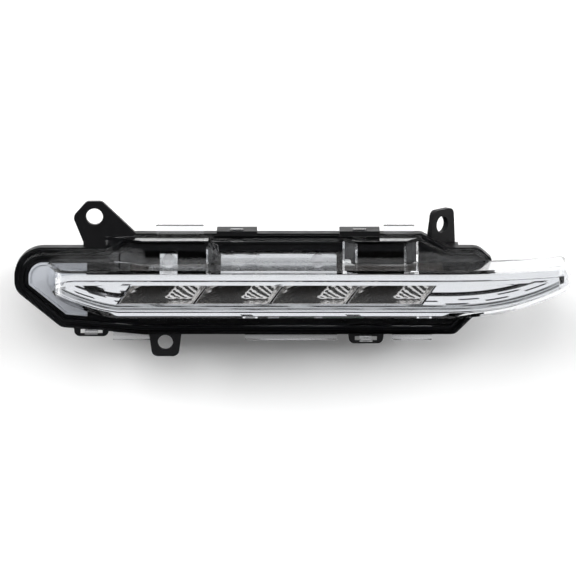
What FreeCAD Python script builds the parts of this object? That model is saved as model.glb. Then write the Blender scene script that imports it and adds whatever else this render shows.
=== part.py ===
import FreeCAD, Part
import math
import os
import Sketcher
from FreeCAD import Placement, Rotation, Vector

# Auxiliary driving light, a lamp with a clear lens bar, built up as its pieces come apart on a bench.
# Millimetres. X runs along the lamp towards its outer end, Y runs back into the car, Z is up.
# The origin is the centre of the inner upper mounting hole, on the front face of its ear.

doc = FreeCAD.newDocument("driving_light")
sheet = doc.addObject("Spreadsheet::Sheet", "Dims")

# Driving dimensions, each with what it measures
DIMENSIONS = [
    # Front outline of the housing rim
    ("hole_from_left", 52.6, "datum hole to the inner end of the rim"),
    ("hole_above_rim", 11.0, "datum hole above the top edge of the rim"),
    ("shoulder_drop", 9.3, "step from the top edge down to either shoulder"),
    ("nose_height", 28.2, "straight height of the inner end before its lower slope"),
    ("foot_run", 30.0, "length along X of the lower slope of the inner end"),
    ("foot_rise", 4.8, "height of the slope's end above the bottom edge"),
    ("heel_run", 55.0, "length along X of the shallow ramp to the bottom edge"),
    ("toe_run", 24.0, "corner taken off the lower outer end"),
    ("top_from_left", 78.6, "inner end to the start of the top edge"),
    ("top_from_right", 46.4, "outer end to the end of the top edge"),
    ("ramp_run", 18.0, "length along X of the ramps beside the top edge"),
    ("rim_corner", 6.0, "corner radius of the rim in front view"),
    # Light bar and its row of cells
    ("rim_above_bar", 17.0, "top edge of the rim above the top of the bar"),
    ("bar_height", 31.0, "height of the lens bar"),
    ("rim_below_bar", 19.0, "bottom of the bar to the bottom edge of the rim"),
    ("cells_from_left", 80.0, "inner end of the rim to the first cell"),
    ("cell_pitch", 49.0, "spacing of the reflector cells"),
    ("rim_past_cells", 35.0, "last cell to the outer end of the rim"),
    ("bar_from_left", 21.6, "inner end of the rim to the root of the bar"),
    ("bar_overhang", 49.6, "bar beyond the outer end of the rim"),
    ("bar_depth", 30.0, "bar in front of the lens deck"),
    ("bar_end_slope", 9.0, "lean of the bar's inner end in plan"),
    ("bar_end_radius", 11.0, "rounding of the bar's inner end in plan"),
    ("bar_edge_radius", 3.6, "rounding of the bar's front edges"),
    ("bar_slant_run", 38.0, "length along X of the slants under both ends of the bar"),
    ("bar_tip_height", 15.0, "height of the bar's ends above their slants"),
    ("bend_radius", 176.0, "plan radius at the rim plane of the swept back outer end"),
    ("bend_angle", 45.0, "angle that the swept slabs are turned through, more than is left of them"),
    # Lens
    ("lens_wall", 2.5, "wall of the clear lens"),
    ("deck_height", 8.0, "lens deck in front of the rim plane"),
    ("flange_step", 0.8, "lens flange inside the rim edge"),
    ("blister_front", 9.5, "front of the blisters in front of the deck"),
    ("blister_below_rim", 1.5, "top of the blisters below the top edge of the rim"),
    ("blister_width", 42.0, "front width of the inner blister"),
    ("blister_outer_width", 33.0, "front width of the outer blister"),
    ("blister_from_cells", 4.6, "first cell to the front of the inner blister"),
    ("blister_long_slope", 25.0, "run of the inner blister's long end"),
    ("blister_short_slope", 10.5, "run of the blisters' short ends"),
    ("blister_to_end", 11.0, "outer blister's end to the end of the last cell"),
    ("tab_height", 6.0, "clear edge tabs above the top edge"),
    ("tab_drop", 3.4, "clear edge tabs below the bottom edge"),
    # Housing
    ("lip_width", 3.5, "outer lip of the rim channel"),
    ("groove_width", 3.5, "seal groove of the rim channel"),
    ("inner_wall", 4.5, "inner wall of the rim channel"),
    ("groove_depth", 6.5, "depth of the seal groove"),
    ("rim_depth", 9.0, "depth of the rim channel"),
    ("pan_wall", 3.0, "wall of the rear pan"),
    ("pan_depth", 39.0, "depth of the rear pan"),
    ("rear_rib", 3.0, "height of the ribs on the rear face"),
    ("rib_width", 2.4, "width of the ribs"),
    ("fit_gap", 0.3, "play between parts that slide together"),
    ("seal_height", 1.5, "thickness of the lens seal"),
    # Ears and snap loops
    ("ear_hole", 11.0, "upper ear holes"),
    ("ear_thickness", 4.0, "thickness of the ears"),
    ("ear_reach", 10.0, "ear above its hole's centre"),
    ("ear_side", 14.0, "ear beside its hole's centre"),
    ("ear_turn", 46.0, "turn of the outer upper ear about the vertical"),
    ("outer_ear_from_end", 32.4, "outer end of the rim to the outer ear's hole"),
    ("outer_ear_above", 4.3, "outer ear's hole above the top edge of the rim"),
    ("lower_ear_along", 45.4, "datum hole to the lower ear's hole along X"),
    ("lower_ear_drop", 5.5, "bottom edge of the rim to the lower ear's hole"),
    ("lower_ear_hole", 10.0, "lower ear hole"),
    ("beak_drop", 8.0, "outer tip of the rim below its shoulder"),
    ("beak_run", 9.0, "outer tip of the rim past its shoulder"),
    ("loop_width", 26.0, "width of the snap loops"),
    ("loop_height", 2.8, "top loops above the top edge"),
    ("loop_reach", 7.0, "top loops in front of the rim plane"),
    ("loop_drop", 6.4, "bottom loops below the bottom edge"),
    ("first_loop_run", 65.0, "first top loop past the first cell"),
    ("second_loop_run", 144.5, "second top loop past the first cell"),
    ("far_loop_run", 149.0, "far bottom loop past the first cell"),
    ("hook_width", 8.5, "width of the lens hooks"),
    # Light source
    ("stack_gap", 0.8, "clear height over the heat spreader in the bar"),
    ("spreader_plate", 2.0, "plate of the heat spreader"),
    ("spreader_length", 121.0, "length of the heat spreader"),
    ("spreader_from_cells", 8.6, "first cell to the heat spreader"),
    ("pad_thickness", 0.5, "thermal pad"),
    ("board_thickness", 1.6, "circuit boards"),
    ("source_back", 10.0, "back of the heat spreader behind the rim plane"),
    ("led_size", 5.0, "light source package"),
    ("led_height", 1.5, "height of the package"),
    # Reflector
    ("reflector_gap", 2.0, "air between lens and reflector"),
    ("reflector_end", 2.0, "end walls of the reflector"),
    ("reflector_lip", 5.0, "height of the front lip"),
    ("reflector_back", 2.0, "back of the reflector box behind the rim plane"),
    ("scoop_top", 2.6, "roof of the plain scoops at both ends"),
    ("scoop_depth", 17.0, "depth of the plain scoops"),
    ("cell_depth", 30.0, "depth of a cell"),
    ("cell_rib", 1.6, "ridge between two cells"),
    ("cell_lean", 11.0, "lean of the ridges over the height of a cell"),
    ("cell_chamfer", 4.0, "lower corners of a cell"),
    ("cell_draw", 9.0, "narrowing of a cell towards its back"),
    ("bezel_inset", 9.5, "inner bezel inside the rim edge"),
    ("bezel_length", 26.0, "inner bezel past the root of the bar"),
    ("bezel_thickness", 2.0, "inner bezel"),
    # Driver and connector
    ("driver_length", 64.0, "driver board along X"),
    ("driver_height", 24.0, "driver board along Z"),
    ("driver_from_lug", 10.5, "middle reflector lug to the driver board"),
    ("driver_standoff", 5.0, "driver board off the rear wall"),
    ("ridge_from_end", 46.0, "silver ridge of the heat spreader past its inner end"),
    ("header_gap", 4.0, "light board's header past the heat spreader"),
    ("header_length", 8.0, "light board's header along X"),
    ("header_depth", 6.0, "light board's header along Y"),
    ("header_height", 5.0, "light board's header along Z"),
    ("header_wall", 1.0, "wall of the light board's header"),
    ("capacitor_radius", 3.5, "driver capacitors"),
    ("capacitor_height", 10.0, "driver capacitors off the board"),
    ("capacitor_spread", 5.0, "driver capacitors off the board's middle line"),
    ("chip_length", 6.0, "driver chip along X"),
    ("chip_height", 8.0, "driver chip along Z"),
    ("chip_thickness", 1.8, "driver chip off the board"),
    ("lead_radius", 0.8, "one wire of the jumper lead"),
    ("lead_spread", 1.3, "wires of the jumper lead off their middle"),
    ("lead_bend", 6.0, "jumper lead in front of the driver board"),
    ("lead_drop", 5.0, "jumper lead's end below the top of the driver board"),
    ("piece_gap", 1.0, "least room between two pieces on a board"),
    ("pin_pitch", 5.5, "connector pins"),
    ("pin_width", 2.4, "connector pins along X"),
    ("pin_thickness", 0.8, "connector pins along Z"),
    ("pin_recess", 5.0, "connector pins behind the mouth of the shroud"),
    ("pin_slack", 0.05, "connector pins in their slots, each way"),
    ("latch_width", 6.0, "latch on the connector shroud along X"),
    ("latch_height", 2.0, "latch on the connector shroud along Z"),
    ("latch_recess", 4.0, "latch behind the mouth of the shroud"),
    ("top_tab_run", 12.6, "first top edge tab past the first cell"),
    ("top_tab_length", 31.0, "first top edge tab"),
    ("far_top_tab_length", 20.0, "second top edge tab"),
    ("low_tab_length", 24.0, "first bottom edge tab"),
    ("mid_tab_run", 5.0, "middle bottom edge tab past the first top loop"),
    ("mid_tab_length", 60.0, "middle bottom edge tab"),
    ("far_tab_length", 26.0, "last bottom edge tab"),
    ("socket_width", 24.0, "connector shroud along X"),
    ("socket_height", 14.0, "connector shroud along Z"),
    ("socket_depth", 17.0, "connector shroud behind its flange"),
    ("socket_wall", 1.8, "wall of the connector shroud"),
    ("socket_flange", 3.0, "connector flange"),
    ("gasket_thickness", 1.0, "connector gasket"),
    ("vent_radius", 8.0, "vent cap"),
    ("vent_height", 5.0, "vent cap off the rear wall"),
    ("screw_head", 7.6, "screw head diameter"),
    ("screw_shank", 3.4, "screw shank diameter"),
    ("screw_head_height", 2.3, "screw head height"),
]
CELL_COUNT = 4

for row, (alias, number, note) in enumerate(DIMENSIONS, 1):
    sheet.set("A%d" % row, alias)
    sheet.set("B%d" % row, str(number))
    sheet.set("C%d" % row, note)
    sheet.setAlias("B%d" % row, alias)
doc.recompute()


class Size:
    """A length that keeps its number together with the sheet expression it comes from."""

    def __init__(self, text, value):
        self.text = text
        self.value = value

    def __add__(self, other):
        other = as_size(other)
        return Size("(%s + %s)" % (self.text, other.text), self.value + other.value)

    def __sub__(self, other):
        other = as_size(other)
        return Size("(%s - %s)" % (self.text, other.text), self.value - other.value)

    def __mul__(self, factor):
        return Size("(%s * %s)" % (self.text, factor), self.value * factor)

    __rmul__ = __mul__

    def __neg__(self):
        return Size("(0 - %s)" % self.text, -self.value)


def as_size(item):
    """A plain number becomes a Size that stands for itself."""
    if isinstance(item, Size):
        return item
    return Size(repr(float(item)), float(item))


def smaller(first, second):
    """The smaller of two sizes, for a rounding that its wall limits."""
    text = "min(%s; %s)" % (first.text, second.text)
    return Size(text, min(first.value, second.value))


class SheetSizes:
    """Gives each cell of the sheet as a Size under its alias."""

    def __getattr__(self, alias):
        return Size("Dims.%s" % alias, float(sheet.get(alias)))


dim = SheetSizes()


def bind(item, prop, length):
    """Ties a property to the sheet."""
    item.setExpression(prop, as_size(length).text)


def bind_base(item, x, y, z):
    """Ties the position of an object to the sheet."""
    bind(item, "Placement.Base.x", x)
    bind(item, "Placement.Base.y", y)
    bind(item, "Placement.Base.z", z)


FRONT = Rotation(Vector(1, 0, 0), 90)
SIDE = Rotation(Vector(1, 1, 1), 120)
PLAN = Rotation()


def outline(sketch, corners):
    """Draws a closed outline through the corners (across, up, radius), with tangent arcs at round ones."""
    count = len(corners)
    points = [Vector(as_size(c[0]).value, as_size(c[1]).value, 0) for c in corners]
    radii = [as_size(c[2]) for c in corners]
    arrive = []
    leave = []
    centres = []
    for i in range(count):
        back = (points[i - 1] - points[i]).normalize()
        ahead = (points[(i + 1) % count] - points[i]).normalize()
        half = back.getAngle(ahead) / 2
        reach = radii[i].value / math.tan(half)
        arrive.append(points[i] + back * reach)
        leave.append(points[i] + ahead * reach)
        middle = (back + ahead).normalize()
        centres.append(points[i] + middle * (radii[i].value / math.sin(half)))
    lines = []
    for i in range(count):
        lines.append(sketch.addGeometry(Part.LineSegment(leave[i], arrive[(i + 1) % count])))
    for i in range(count):
        if radii[i].value == 0:
            sketch.addConstraint(Sketcher.Constraint("Coincident", lines[i - 1], 2, lines[i], 1))
            mark = (lines[i], 1)
        else:
            mark = (round_corner(sketch, lines[i - 1], lines[i], points[i], arrive[i], leave[i],
                                 centres[i], radii[i]), 1)
        for axis, text in (("DistanceX", corners[i][0]), ("DistanceY", corners[i][1])):
            place = as_size(text)
            tie = sketch.addConstraint(Sketcher.Constraint(axis, -1, 1, mark[0], mark[1], place.value))
            sketch.setExpression("Constraints[%d]" % tie, place.text)


def round_corner(sketch, before, after, corner, start, end, centre, radius):
    """Rounds one corner of an outline and returns the construction point that marks it."""
    first = math.atan2(start.y - centre.y, start.x - centre.x)
    last = math.atan2(end.y - centre.y, end.x - centre.x)
    turns_left = (last - first) % (2 * math.pi) < math.pi
    if not turns_left:
        first, last = last, first
    circle = Part.Circle(centre, Vector(0, 0, 1), radius.value)
    arc = sketch.addGeometry(Part.ArcOfCircle(circle, first, last))
    begin = 1 if turns_left else 2
    mark = sketch.addGeometry(Part.Point(corner), True)
    sketch.addConstraint(Sketcher.Constraint("Tangent", before, 2, arc, begin))
    sketch.addConstraint(Sketcher.Constraint("Tangent", arc, 3 - begin, after, 1))
    sketch.addConstraint(Sketcher.Constraint("PointOnObject", mark, 1, before))
    sketch.addConstraint(Sketcher.Constraint("PointOnObject", mark, 1, after))
    tie = sketch.addConstraint(Sketcher.Constraint("Radius", arc, radius.value))
    sketch.setExpression("Constraints[%d]" % tie, radius.text)
    return mark


def drawing(name, turn, corners):
    """A sketch of one outline in the front, side or plan view."""
    sketch = doc.addObject("Sketcher::SketchObject", name)
    sketch.Placement = Placement(Vector(0, 0, 0), turn)
    outline(sketch, corners)
    doc.recompute()
    return sketch


def inset(name, source, distance):
    """The same outline moved in by a distance."""
    offset = doc.addObject("Part::Offset2D", name)
    offset.Source = source
    offset.Join = "Arc"
    bind(offset, "Value", -as_size(distance))
    doc.recompute()
    return offset


def extrude(name, base, direction, start, end):
    """A solid between two levels along an axis."""
    solid = doc.addObject("Part::Extrusion", name)
    solid.Base = base
    solid.DirMode = "Custom"
    solid.Dir = direction
    solid.Solid = True
    bind(solid, "LengthFwd", end)
    bind(solid, "LengthRev", -as_size(start))
    return solid


def plate(name, base, start, end):
    """A front outline made solid from one Y level to another."""
    return extrude(name, base, Vector(0, 1, 0), start, end)


def box(name, x0, x1, y0, y1, z0, z1):
    """A block between pairs of levels."""
    block = doc.addObject("Part::Box", name)
    bind(block, "Length", as_size(x1) - x0)
    bind(block, "Width", as_size(y1) - y0)
    bind(block, "Height", as_size(z1) - z0)
    bind_base(block, x0, y0, z0)
    return block


def rod(name, x, z, radius, start, end):
    """A round bar that runs along Y."""
    bar = doc.addObject("Part::Cylinder", name)
    bind(bar, "Radius", radius)
    bind(bar, "Height", as_size(end) - start)
    bar.Placement = Placement(Vector(0, 0, 0), Rotation(Vector(1, 0, 0), -90))
    bind_base(bar, x, start, z)
    return bar


def fuse(name, items):
    """Several solids as one."""
    whole = doc.addObject("Part::MultiFuse", name)
    whole.Shapes = items
    whole.Refine = True
    return whole


def cut(name, base, tool):
    """A solid with another taken out of it."""
    rest = doc.addObject("Part::Cut", name)
    rest.Base = base
    rest.Tool = tool
    rest.Refine = True
    return rest


def common(name, items):
    """What several solids share."""
    shared = doc.addObject("Part::MultiCommon", name)
    shared.Shapes = items
    shared.Refine = True
    return shared


def group(name, items):
    """Loose solids that are counted as one sub-part."""
    bundle = doc.addObject("Part::Compound", name)
    bundle.Links = items
    return bundle


# Levels and stations that the pieces share
rim_left_x = -dim.hole_from_left
rim_top_z = -dim.hole_above_rim
shoulder_z = rim_top_z - dim.shoulder_drop
bar_top_z = rim_top_z - dim.rim_above_bar
bar_bottom_z = bar_top_z - dim.bar_height
rim_bottom_z = bar_bottom_z - dim.rim_below_bar
cell_start_x = rim_left_x + dim.cells_from_left
cell_end_x = cell_start_x + dim.cell_pitch * CELL_COUNT
rim_right_x = cell_end_x + dim.rim_past_cells
bar_left_x = rim_left_x + dim.bar_from_left
bar_right_x = rim_right_x + dim.bar_overhang
bar_front_y = -(dim.deck_height + dim.bar_depth)
deck_front_y = -dim.deck_height
deck_back_y = deck_front_y + dim.lens_wall
blister_front_y = deck_front_y - dim.blister_front
blister_top_z = rim_top_z - dim.blister_below_rim
rim_width = dim.lip_width + dim.groove_width + dim.inner_wall
rear_wall_y = dim.pan_depth - dim.pan_wall
far = as_size(400)

# Front outline of the rim, which every ring of the housing and the lens follows
top_start_x = rim_left_x + dim.top_from_left
top_end_x = rim_right_x - dim.top_from_right
foot_x = rim_left_x + dim.foot_run
foot_z = rim_bottom_z + dim.foot_rise
heel_x = foot_x + dim.heel_run
toe_x = rim_right_x - dim.toe_run
knee_x = rim_right_x - dim.toe_run * 0.5
knee_z = rim_bottom_z + dim.toe_run * 0.5
rim_outline = drawing("rim_outline", FRONT, [
    (rim_left_x, shoulder_z, dim.nose_height * 0.68),
    (rim_left_x, shoulder_z - dim.nose_height, dim.nose_height * 0.42),
    (foot_x, foot_z, dim.rim_corner),
    (heel_x, rim_bottom_z, dim.rim_corner),
    (toe_x, rim_bottom_z, dim.rim_corner),
    (knee_x, knee_z, dim.rim_corner),
    (rim_right_x, shoulder_z - dim.beak_drop, dim.rim_corner * 0.5),
    (rim_right_x - dim.beak_run, shoulder_z, dim.rim_corner * 1.6),
    (top_end_x + dim.ramp_run, shoulder_z, dim.rim_corner),
    (top_end_x, rim_top_z, dim.rim_corner * 0.6),
    (top_start_x, rim_top_z, dim.rim_corner * 0.6),
    (top_start_x - dim.ramp_run, shoulder_z, dim.rim_corner),
])
doc.recompute()


def ring_plate(name, distance, start, end):
    """The rim outline moved in by a distance and made solid between two Y levels."""
    edge = inset(name + "_edge", rim_outline, distance)
    return plate(name, edge, start, end)


def swept_slab(name, front, back):
    """A slab between two Y levels that turns back with the outer end of the bar."""
    straight = box(name + "_straight", -far, cell_end_x, front, back, -far, far)
    outer = doc.addObject("Part::Cylinder", name + "_outer")
    inner = doc.addObject("Part::Cylinder", name + "_inner")
    for sector, level in ((outer, front), (inner, back)):
        bind(sector, "Radius", dim.bend_radius - level)
        bind(sector, "Height", far * 2)
        bind(sector, "Angle", dim.bend_angle)
        sector.Placement = Placement(Vector(0, 0, 0), Rotation(Vector(0, 0, 1), -90))
        bind_base(sector, cell_end_x, dim.bend_radius, -far)
    bend = cut(name + "_bend", outer, inner)
    return fuse(name, [straight, bend])


# Front outline of the light bar, its ends cut under by long slants
bar_outline = drawing("bar_outline", FRONT, [
    (bar_left_x, bar_top_z, dim.bar_edge_radius),
    (bar_left_x, bar_top_z - dim.bar_tip_height, dim.bar_edge_radius),
    (bar_left_x + dim.bar_slant_run, bar_bottom_z, dim.bar_edge_radius * 4),
    (cell_end_x + dim.rim_past_cells * 0.3, bar_bottom_z, dim.bar_edge_radius * 4),
    (bar_right_x - dim.bar_slant_run, bar_bottom_z + dim.bar_edge_radius * 0.8, dim.bar_edge_radius * 4),
    (bar_right_x, bar_top_z - dim.bar_tip_height, dim.bar_edge_radius),
    (bar_right_x, bar_top_z, dim.bar_edge_radius * 1.6),
])


def bar_form(name, wall, back):
    """The solid form of the bar moved in by a wall, with its inner end leaning back in plan."""
    slab = swept_slab(name + "_slab", bar_front_y + wall, back)
    edge = inset(name + "_edge", bar_outline, wall) if as_size(wall).value else bar_outline
    front = plate(name + "_front", edge, -far, far)
    root_x = bar_left_x + wall
    tip_x = root_x + dim.bar_end_slope
    plan = drawing(name + "_plan", PLAN, [
        (root_x, far, 0),
        (root_x, deck_front_y, 0),
        (tip_x, bar_front_y + wall, dim.bar_end_radius - wall),
        (far, bar_front_y + wall, 0),
        (far, far, 0),
    ])
    lean = extrude(name + "_lean", plan, Vector(0, 0, 1), -far, far)
    bent = cut(name + "_bent", slab, box(name + "_left", -far, cell_start_x, -far, far, -far, far))
    zone = box(name + "_zone", -far, cell_start_x, -far, far, -far, far)
    start = common(name + "_start", [slab, lean, zone])
    run = fuse(name + "_run", [start, bent])
    return common(name, [run, front])


# Lens: flange, deck, bar and two blisters as one clear shell
def blister(name, wall, top, back):
    """Both blisters moved in by a wall, from the bar up to a level."""
    front_y = blister_front_y + wall
    left = cell_start_x + dim.blister_from_cells
    right = left + dim.blister_width
    inner = drawing(name + "_inner", PLAN, [
        (left - dim.blister_long_slope + wall, back, 0),
        (left + wall * 0.6, front_y, 0),
        (right - wall * 0.6, front_y, 0),
        (right + dim.blister_short_slope - wall, back, 0),
    ])
    end = cell_end_x - dim.blister_to_end
    right_2 = end - dim.blister_short_slope
    left_2 = right_2 - dim.blister_outer_width
    outer = drawing(name + "_outer", PLAN, [
        (left_2 - dim.blister_short_slope + wall, back, 0),
        (left_2 + wall * 0.6, front_y, 0),
        (right_2 - wall * 0.6, front_y, 0),
        (end - wall, back, 0),
    ])
    low = bar_top_z - dim.lens_wall * 0.5 - wall
    arrow = drawing(name + "_arrow", FRONT, [
        (left - dim.blister_long_slope, top, 0),
        (right - wall, top, 0),
        (right + dim.blister_short_slope - wall * 1.5, (as_size(top) + low) * 0.5, 0),
        (right - wall, low, 0),
        (left - dim.blister_long_slope, low, 0),
    ])
    block = extrude(name + "_block", inner, Vector(0, 0, 1), low, top)
    first = common(name + "_first", [block, plate(name + "_face", arrow, -far, far)])
    second = extrude(name + "_second", outer, Vector(0, 0, 1), low, top)
    return fuse(name, [first, second])


flange = ring_plate("flange", dim.flange_step, -dim.lens_wall, 0)
skirt_inset = dim.lip_width + dim.fit_gap
tongue_y = dim.groove_depth - dim.seal_height
skirt = ring_plate("skirt", skirt_inset, deck_front_y, tongue_y)
deck_cavity = ring_plate("deck_cavity", skirt_inset + dim.lens_wall, deck_back_y, far)
bar_outer = bar_form("bar_outer", as_size(0), deck_front_y)
bar_inner = bar_form("bar_inner", dim.lens_wall, deck_front_y - dim.lens_wall)
throat_end_x = cell_end_x + dim.rim_past_cells * 0.2
throat = box("throat", bar_left_x + dim.bar_slant_run, throat_end_x,
             deck_front_y - dim.lens_wall * 2, deck_back_y + 1,
             bar_bottom_z + dim.lens_wall, bar_top_z - dim.lens_wall)
blister_outer = blister("blister_outer", as_size(0), blister_top_z, -dim.lens_wall)
blister_inner = blister("blister_inner", dim.lens_wall, blister_top_z - dim.lens_wall, deck_back_y)

# Clear edge tabs, above and below the rim, as (start, length, side)
first_loop_x = cell_start_x + dim.first_loop_run
second_loop_x = cell_start_x + dim.second_loop_run
low_loop_x = foot_x + dim.heel_run * 0.36
far_loop_x = cell_start_x + dim.far_loop_run
tabs = []
for number, (start, length, top) in enumerate([
        (cell_start_x + dim.top_tab_run, dim.top_tab_length, True),
        (second_loop_x + dim.loop_width * 0.6, dim.far_top_tab_length, True),
        (low_loop_x + dim.loop_width * 0.55, dim.low_tab_length, False),
        (first_loop_x + dim.mid_tab_run, dim.mid_tab_length, False),
        (far_loop_x + dim.loop_width * 0.65, dim.far_tab_length, False)]):
    edge_z = rim_top_z if top else rim_bottom_z
    high = edge_z + dim.tab_height if top else edge_z + dim.lip_width * 2
    low = edge_z - dim.lip_width * 2 if top else edge_z - dim.tab_drop
    tabs.append(box("tab_%d" % number, start, start + length, -dim.lens_wall, 0, low, high))

# Hooks that snap into the loops, upright ones through the top and barbed ones through the bottom
hooks = []
for number, centre in enumerate((first_loop_x, second_loop_x)):
    hooks.append(box("hook_%d" % number, centre - dim.hook_width * 0.5, centre + dim.hook_width * 0.5,
                     -dim.loop_reach * 0.7, -dim.loop_reach * 0.15,
                     rim_top_z - dim.lip_width * 2, rim_top_z + dim.loop_height + 0.8))
    hooks.append(box("hook_rib_%d" % number, centre - dim.hook_width * 0.5, centre + dim.hook_width * 0.5,
                     deck_front_y - dim.lens_wall * 0.5, -dim.loop_reach * 0.7, bar_top_z - dim.lens_wall * 0.5,
                     rim_top_z - dim.lip_width))
loop_hole_top = dim.loop_drop * 0.25
loop_hole_low = dim.loop_drop * 0.8
for number, (centre, edge_z) in enumerate(((low_loop_x, foot_z), (far_loop_x, rim_bottom_z))):
    left = centre - dim.hook_width * 0.5
    right = centre + dim.hook_width * 0.5
    low = edge_z - dim.loop_drop * 0.7
    hooks.append(box("leg_%d" % number, left, right, -dim.lens_wall, 0, low, edge_z + dim.lip_width * 2))
    hooks.append(box("barb_%d" % number, left, right, 0, dim.ear_thickness * 1.9,
                     low, edge_z - dim.loop_drop * 0.4))
lens_solid = fuse("lens_solid", [flange, skirt, bar_outer, blister_outer] + tabs + hooks)
lens_hollow = fuse("lens_hollow", [deck_cavity, bar_inner, throat, blister_inner])
outer_lens = cut("outer_lens", lens_solid, lens_hollow)

# Lens seal, a ring at the bottom of the rim channel
seal_solid = ring_plate("seal_solid", skirt_inset, tongue_y, dim.groove_depth)
seal_core = ring_plate("seal_core", skirt_inset + dim.lens_wall, tongue_y - 1, dim.groove_depth + 1)
lens_seal = cut("lens_seal", seal_solid, seal_core)

# Housing: rim channel, rear pan, ears, loops and posts in one moulding
rim_block = plate("rim_block", rim_outline, 0, dim.rim_depth)
pan_block = ring_plate("pan_block", rim_width - dim.pan_wall, 0, dim.pan_depth)
cavity = ring_plate("cavity", rim_width, -1, rear_wall_y)
groove_out = ring_plate("groove_out", dim.lip_width, -1, dim.groove_depth)
groove_in = ring_plate("groove_in", dim.lip_width + dim.groove_width, -2, dim.groove_depth + 1)
groove = cut("groove", groove_out, groove_in)
ear_round = dim.ear_reach * 0.42
upper_ear = plate("upper_ear", drawing("upper_ear_outline", FRONT, [
    (-dim.ear_side, 0, ear_round),
    (-dim.ear_reach * 0.5, dim.ear_reach, ear_round),
    (dim.ear_reach * 0.5, dim.ear_reach, ear_round),
    (top_start_x + 3, rim_top_z - 2, 0),
    (top_start_x - dim.ramp_run - 12, shoulder_z - 5, 0),
]), 0, dim.ear_thickness)
lower_ear_x = dim.lower_ear_along
lower_ear_z = rim_bottom_z - dim.lower_ear_drop
lower_ear = plate("lower_ear", drawing("lower_ear_outline", FRONT, [
    (lower_ear_x - dim.ear_reach * 1.08, rim_bottom_z + 2, 0),
    (lower_ear_x + dim.ear_reach * 1.08, rim_bottom_z + 2, 0),
    (lower_ear_x + dim.ear_reach * 0.86, lower_ear_z - dim.ear_reach * 0.92, ear_round),
    (lower_ear_x - dim.ear_reach * 0.86, lower_ear_z - dim.ear_reach * 0.92, ear_round),
]), 0, dim.ear_thickness)
outer_ear_x = rim_right_x - dim.outer_ear_from_end
outer_ear_y = dim.rim_depth
outer_ear_z = rim_top_z + dim.outer_ear_above
ear_foot = -(dim.outer_ear_above + dim.shoulder_drop + rim_width * 0.6)


def turn_ear(item):
    """Sets a shape drawn about its own hole into the place of the turned outer ear."""
    item.Placement = Placement(Vector(0, 0, 0), Rotation(Vector(0, 0, 1), dim.ear_turn.value))
    bind(item, "Placement.Rotation.Angle", dim.ear_turn)
    bind_base(item, outer_ear_x, outer_ear_y, outer_ear_z)
    return item


outer_ear = turn_ear(plate("outer_ear", drawing("outer_ear_outline", FRONT, [
    (-dim.ear_reach * 0.75, dim.ear_reach * 0.97, ear_round),
    (dim.ear_reach * 1.1, dim.ear_reach * 0.97, ear_round),
    (dim.ear_reach * 1.3, ear_foot, 0),
    (-dim.ear_reach * 1.3, ear_foot, 0),
]), 0, dim.ear_thickness))
ear_root = box("ear_root", outer_ear_x - dim.ear_reach * 0.6, outer_ear_x + dim.ear_reach * 1.05,
               dim.rim_depth * 0.5, dim.rim_depth + dim.ear_reach,
               shoulder_z - rim_width + 1, shoulder_z)
gussets = []
for number, x in enumerate((-dim.ear_reach * 0.75, dim.ear_reach * 1.2)):
    web = drawing("gusset_%d_outline" % number, SIDE, [
        (dim.ear_thickness * 0.5, rim_top_z * 0.55, 0),
        (dim.rim_depth * 2.2, shoulder_z - rim_width + 1, 0),
        (dim.ear_thickness * 0.5, shoulder_z - rim_width + 1, 0),
    ])
    gussets.append(extrude("gusset_%d" % number, web, Vector(1, 0, 0), x, x + dim.rib_width))
loops = []
loop_cuts = []
for number, centre in enumerate((first_loop_x, second_loop_x)):
    loops.append(box("loop_%d" % number, centre - dim.loop_width * 0.5, centre + dim.loop_width * 0.5,
                     -dim.loop_reach, dim.rim_depth, rim_top_z - dim.flange_step * 0.5,
                     rim_top_z + dim.loop_height))
    loop_cuts.append(box("slot_%d" % number, centre - dim.hook_width * 0.5 - dim.fit_gap,
                         centre + dim.hook_width * 0.5 + dim.fit_gap,
                         -dim.loop_reach * 0.7 - dim.fit_gap, -dim.loop_reach * 0.15 + dim.fit_gap,
                         rim_top_z - dim.lip_width, rim_top_z + dim.loop_height + 2))
for number, (centre, edge_z) in enumerate(((low_loop_x, foot_z), (far_loop_x, rim_bottom_z))):
    ring = drawing("low_loop_%d_outline" % number, FRONT, [
        (centre - dim.loop_width * 0.46, edge_z + dim.lip_width, 0),
        (centre + dim.loop_width * 0.46, edge_z + dim.lip_width, 0),
        (centre + dim.loop_width * 0.42, edge_z - dim.loop_drop, dim.loop_drop * 0.6),
        (centre - dim.loop_width * 0.42, edge_z - dim.loop_drop, dim.loop_drop * 0.6),
    ])
    loops.append(plate("low_loop_%d" % number, ring, dim.ear_thickness * 0.3, dim.ear_thickness * 1.4))
    loop_cuts.append(box("low_slot_%d" % number, centre - dim.hook_width * 0.85, centre + dim.hook_width * 0.85,
                         0, dim.rim_depth, edge_z - loop_hole_low, edge_z - loop_hole_top))
holes = [
    rod("upper_hole", 0, 0, dim.ear_hole * 0.5, -5, dim.rim_depth * 3),
    rod("lower_hole", lower_ear_x, lower_ear_z, dim.lower_ear_hole * 0.5, -5, dim.rim_depth * 3),
]
outer_bore = rod("outer_bore", 0, 0, dim.ear_hole * 0.5, -dim.ear_reach * 2, dim.ear_reach * 3)
outer_hole = turn_ear(group("outer_hole", [outer_bore]))

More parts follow.
